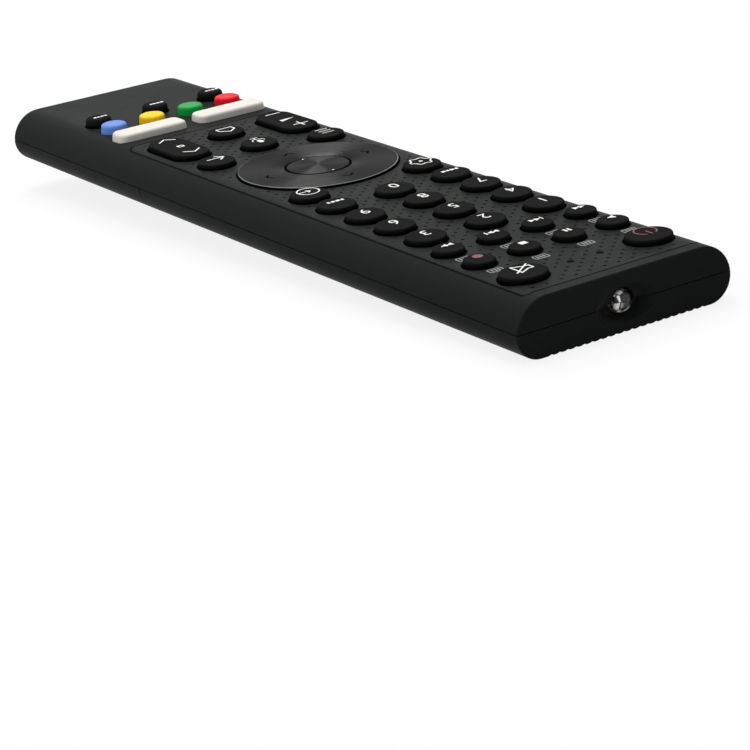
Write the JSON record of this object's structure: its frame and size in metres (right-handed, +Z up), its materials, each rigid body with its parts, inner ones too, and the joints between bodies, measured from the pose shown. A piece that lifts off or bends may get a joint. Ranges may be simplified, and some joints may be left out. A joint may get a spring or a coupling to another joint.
{
  "type": "tv remote control",
  "caption": "Slim bar-shaped remote control with push keys, rocker keys, a tilting navigation ring with centre button, a front infrared lamp and a slide-off battery cover.",
  "frame": {"origin": "bottom centre of the bounding box, on the flat land under the battery hump at mid length", "axes": "+Z up through the keypad, +Y along the body towards the infrared lamp, +X across the keypad to the right when the digits read upright"},
  "size_m": [0.0492, 0.205, 0.0181],
  "materials": {
    "case_black": "fine matte moulding",
    "panel_black": "fine pitted matte moulding",
    "key_black": "matte with a satin top",
    "key_white": "smooth satin",
    "key_red": "smooth satin",
    "key_green": "smooth satin",
    "key_yellow": "smooth satin",
    "key_blue": "smooth satin",
    "ring_metal": "spun dark anodised",
    "inner_plastic": "plain moulding",
    "mat_rubber": "plain moulding",
    "board_green": "lacquered laminate",
    "lamp_clear": "clear moulding",
    "tin_lead": "tinned wire",
    "microphone_can": "pressed metal can",
    "chip_black": "moulded package",
    "component_grey": "moulded and pressed packages",
    "cell_jacket": "satin jacket",
    "contact_steel": "plated strip",
    "spring_steel": "plated wire",
    "screw_steel": "dark plated"
  },
  "bodies": {
    "housing": {"front_case": "case_black", "rear_case": "case_black", "face_panel": "panel_black", "keypad_mat": "mat_rubber", "circuit_board": "board_green", "ir_lamp": "lamp_clear", "lamp_leads": "tin_lead", "microphones": "microphone_can", "control_chip": "chip_black", "board_parts": "component_grey", "battery_cell_left": "cell_jacket", "battery_cell_right": "cell_jacket", "battery_contacts": "contact_steel", "battery_springs": "spring_steel", "case_screws": "screw_steel"},
    "cover": {"battery_cover": "case_black"},
    "volume_rocker_body": {"volume_rocker": "key_black"},
    "channel_rocker_body": {"channel_rocker": "key_black"},
    "nav_carrier_body": {"nav_carrier": "inner_plastic"},
    "nav_ring_body": {"nav_ring": "ring_metal"},
    "ok_button_body": {"ok_button": "ring_metal"},
    "power_key_body": {"power_key": "key_black"},
    "mute_key_body": {"mute_key": "key_black"},
    "play_key_body": {"play_key": "key_black"},
    "pause_key_body": {"pause_key": "key_black"},
    "stop_key_body": {"stop_key": "key_black"},
    "record_key_body": {"record_key": "key_black"},
    "rewind_key_body": {"rewind_key": "key_black"},
    "previous_key_body": {"previous_key": "key_black"},
    "next_key_body": {"next_key": "key_black"},
    "forward_key_body": {"forward_key": "key_black"},
    "digit_1_key_body": {"digit_1_key": "key_black"},
    "digit_2_key_body": {"digit_2_key": "key_black"},
    "digit_3_key_body": {"digit_3_key": "key_black"},
    "digit_4_key_body": {"digit_4_key": "key_black"},
    "digit_5_key_body": {"digit_5_key": "key_black"},
    "digit_6_key_body": {"digit_6_key": "key_black"},
    "digit_7_key_body": {"digit_7_key": "key_black"},
    "digit_8_key_body": {"digit_8_key": "key_black"},
    "digit_9_key_body": {"digit_9_key": "key_black"},
    "info_key_body": {"info_key": "key_black"},
    "digit_0_key_body": {"digit_0_key": "key_black"},
    "text_key_body": {"text_key": "key_black"},
    "settings_key_body": {"settings_key": "key_black"},
    "source_key_body": {"source_key": "key_black"},
    "menu_key_body": {"menu_key": "key_black"},
    "back_key_body": {"back_key": "key_black"},
    "voice_key_body": {"voice_key": "key_black"},
    "home_key_body": {"home_key": "key_black"},
    "tail_key_left_body": {"tail_key_left": "key_black"},
    "tail_key_centre_body": {"tail_key_centre": "key_black"},
    "tail_key_right_body": {"tail_key_right": "key_black"},
    "shortcut_bar_left_body": {"shortcut_bar_left": "key_white"},
    "shortcut_bar_right_body": {"shortcut_bar_right": "key_white"},
    "red_key_body": {"red_key": "key_red"},
    "green_key_body": {"green_key": "key_green"},
    "yellow_key_body": {"yellow_key": "key_yellow"},
    "blue_key_body": {"blue_key": "key_blue"}
  },
  "joints": [
    {"name": "cover_slide", "type": "slide", "parent": "housing", "child": "cover", "axis": [0, -1, 0], "range_m": [0, 0.064]},
    {"name": "volume_rocker_rock", "type": "hinge", "parent": "housing", "child": "volume_rocker_body", "pos_m": [-0.01395, -0.0383, 0.0131], "axis": [1, 0, 0], "range_deg": [-3, 3], "stiffness_Nm_per_rad": 0.19},
    {"name": "channel_rocker_rock", "type": "hinge", "parent": "housing", "child": "channel_rocker_body", "pos_m": [0.01395, -0.0383, 0.0131], "axis": [1, 0, 0], "range_deg": [-3, 3], "stiffness_Nm_per_rad": 0.19},
    {"name": "nav_tilt_up_down", "type": "hinge", "parent": "housing", "child": "nav_carrier_body", "pos_m": [0, -0.0025, 0.0131], "axis": [1, 0, 0], "range_deg": [-1.5, 1.5], "stiffness_Nm_per_rad": 0.75},
    {"name": "nav_tilt_left_right", "type": "hinge", "parent": "nav_carrier_body", "child": "nav_ring_body", "pos_m": [0, -0.0025, 0.01533], "axis": [0, 1, 0], "range_deg": [-1.5, 1.5], "stiffness_Nm_per_rad": 0.75},
    {"name": "ok_press", "type": "slide", "parent": "housing", "child": "ok_button_body", "axis": [0, 0, -1], "range_m": [0, 0.0006], "stiffness_N_per_m": 2500},
    {"name": "power_key_press", "type": "slide", "parent": "housing", "child": "power_key_body", "axis": [0, 0, -1], "range_m": [0, 0.0006], "stiffness_N_per_m": 2500},
    {"name": "mute_key_press", "type": "slide", "parent": "housing", "child": "mute_key_body", "axis": [0, 0, -1], "range_m": [0, 0.0006], "stiffness_N_per_m": 2500},
    {"name": "play_key_press", "type": "slide", "parent": "housing", "child": "play_key_body", "axis": [0, 0, -1], "range_m": [0, 0.0006], "stiffness_N_per_m": 2500},
    {"name": "pause_key_press", "type": "slide", "parent": "housing", "child": "pause_key_body", "axis": [0, 0, -1], "range_m": [0, 0.0006], "stiffness_N_per_m": 2500},
    {"name": "stop_key_press", "type": "slide", "parent": "housing", "child": "stop_key_body", "axis": [0, 0, -1], "range_m": [0, 0.0006], "stiffness_N_per_m": 2500},
    {"name": "record_key_press", "type": "slide", "parent": "housing", "child": "record_key_body", "axis": [0, 0, -1], "range_m": [0, 0.0006], "stiffness_N_per_m": 2500},
    {"name": "rewind_key_press", "type": "slide", "parent": "housing", "child": "rewind_key_body", "axis": [0, 0, -1], "range_m": [0, 0.0006], "stiffness_N_per_m": 2500},
    {"name": "previous_key_press", "type": "slide", "parent": "housing", "child": "previous_key_body", "axis": [0, 0, -1], "range_m": [0, 0.0006], "stiffness_N_per_m": 2500},
    {"name": "next_key_press", "type": "slide", "parent": "housing", "child": "next_key_body", "axis": [0, 0, -1], "range_m": [0, 0.0006], "stiffness_N_per_m": 2500},
    {"name": "forward_key_press", "type": "slide", "parent": "housing", "child": "forward_key_body", "axis": [0, 0, -1], "range_m": [0, 0.0006], "stiffness_N_per_m": 2500},
    {"name": "digit_1_key_press", "type": "slide", "parent": "housing", "child": "digit_1_key_body", "axis": [0, 0, -1], "range_m": [0, 0.0006], "stiffness_N_per_m": 2500},
    {"name": "digit_2_key_press", "type": "slide", "parent": "housing", "child": "digit_2_key_body", "axis": [0, 0, -1], "range_m": [0, 0.0006], "stiffness_N_per_m": 2500},
    {"name": "digit_3_key_press", "type": "slide", "parent": "housing", "child": "digit_3_key_body", "axis": [0, 0, -1], "range_m": [0, 0.0006], "stiffness_N_per_m": 2500},
    {"name": "digit_4_key_press", "type": "slide", "parent": "housing", "child": "digit_4_key_body", "axis": [0, 0, -1], "range_m": [0, 0.0006], "stiffness_N_per_m": 2500},
    {"name": "digit_5_key_press", "type": "slide", "parent": "housing", "child": "digit_5_key_body", "axis": [0, 0, -1], "range_m": [0, 0.0006], "stiffness_N_per_m": 2500},
    {"name": "digit_6_key_press", "type": "slide", "parent": "housing", "child": "digit_6_key_body", "axis": [0, 0, -1], "range_m": [0, 0.0006], "stiffness_N_per_m": 2500},
    {"name": "digit_7_key_press", "type": "slide", "parent": "housing", "child": "digit_7_key_body", "axis": [0, 0, -1], "range_m": [0, 0.0006], "stiffness_N_per_m": 2500},
    {"name": "digit_8_key_press", "type": "slide", "parent": "housing", "child": "digit_8_key_body", "axis": [0, 0, -1], "range_m": [0, 0.0006], "stiffness_N_per_m": 2500},
    {"name": "digit_9_key_press", "type": "slide", "parent": "housing", "child": "digit_9_key_body", "axis": [0, 0, -1], "range_m": [0, 0.0006], "stiffness_N_per_m": 2500},
    {"name": "info_key_press", "type": "slide", "parent": "housing", "child": "info_key_body", "axis": [0, 0, -1], "range_m": [0, 0.0006], "stiffness_N_per_m": 2500},
    {"name": "digit_0_key_press", "type": "slide", "parent": "housing", "child": "digit_0_key_body", "axis": [0, 0, -1], "range_m": [0, 0.0006], "stiffness_N_per_m": 2500},
    {"name": "text_key_press", "type": "slide", "parent": "housing", "child": "text_key_body", "axis": [0, 0, -1], "range_m": [0, 0.0006], "stiffness_N_per_m": 2500},
    {"name": "settings_key_press", "type": "slide", "parent": "housing", "child": "settings_key_body", "axis": [0, 0, -1], "range_m": [0, 0.0006], "stiffness_N_per_m": 2500},
    {"name": "source_key_press", "type": "slide", "parent": "housing", "child": "source_key_body", "axis": [0, 0, -1], "range_m": [0, 0.0006], "stiffness_N_per_m": 2500},
    {"name": "menu_key_press", "type": "slide", "parent": "housing", "child": "menu_key_body", "axis": [0, 0, -1], "range_m": [0, 0.0006], "stiffness_N_per_m": 2500},
    {"name": "back_key_press", "type": "slide", "parent": "housing", "child": "back_key_body", "axis": [0, 0, -1], "range_m": [0, 0.0006], "stiffness_N_per_m": 2500},
    {"name": "voice_key_press", "type": "slide", "parent": "housing", "child": "voice_key_body", "axis": [0, 0, -1], "range_m": [0, 0.0006], "stiffness_N_per_m": 2500},
    {"name": "home_key_press", "type": "slide", "parent": "housing", "child": "home_key_body", "axis": [0, 0, -1], "range_m": [0, 0.0006], "stiffness_N_per_m": 2500},
    {"name": "tail_key_left_press", "type": "slide", "parent": "housing", "child": "tail_key_left_body", "axis": [0, 0, -1], "range_m": [0, 0.0006], "stiffness_N_per_m": 2500},
    {"name": "tail_key_centre_press", "type": "slide", "parent": "housing", "child": "tail_key_centre_body", "axis": [0, 0, -1], "range_m": [0, 0.0006], "stiffness_N_per_m": 2500},
    {"name": "tail_key_right_press", "type": "slide", "parent": "housing", "child": "tail_key_right_body", "axis": [0, 0, -1], "range_m": [0, 0.0006], "stiffness_N_per_m": 2500},
    {"name": "shortcut_bar_left_press", "type": "slide", "parent": "housing", "child": "shortcut_bar_left_body", "axis": [0, 0, -1], "range_m": [0, 0.0006], "stiffness_N_per_m": 2500},
    {"name": "shortcut_bar_right_press", "type": "slide", "parent": "housing", "child": "shortcut_bar_right_body", "axis": [0, 0, -1], "range_m": [0, 0.0006], "stiffness_N_per_m": 2500},
    {"name": "red_key_press", "type": "slide", "parent": "housing", "child": "red_key_body", "axis": [0, 0, -1], "range_m": [0, 0.0006], "stiffness_N_per_m": 2500},
    {"name": "green_key_press", "type": "slide", "parent": "housing", "child": "green_key_body", "axis": [0, 0, -1], "range_m": [0, 0.0006], "stiffness_N_per_m": 2500},
    {"name": "yellow_key_press", "type": "slide", "parent": "housing", "child": "yellow_key_body", "axis": [0, 0, -1], "range_m": [0, 0.0006], "stiffness_N_per_m": 2500},
    {"name": "blue_key_press", "type": "slide", "parent": "housing", "child": "blue_key_body", "axis": [0, 0, -1], "range_m": [0, 0.0006], "stiffness_N_per_m": 2500}
  ]
}
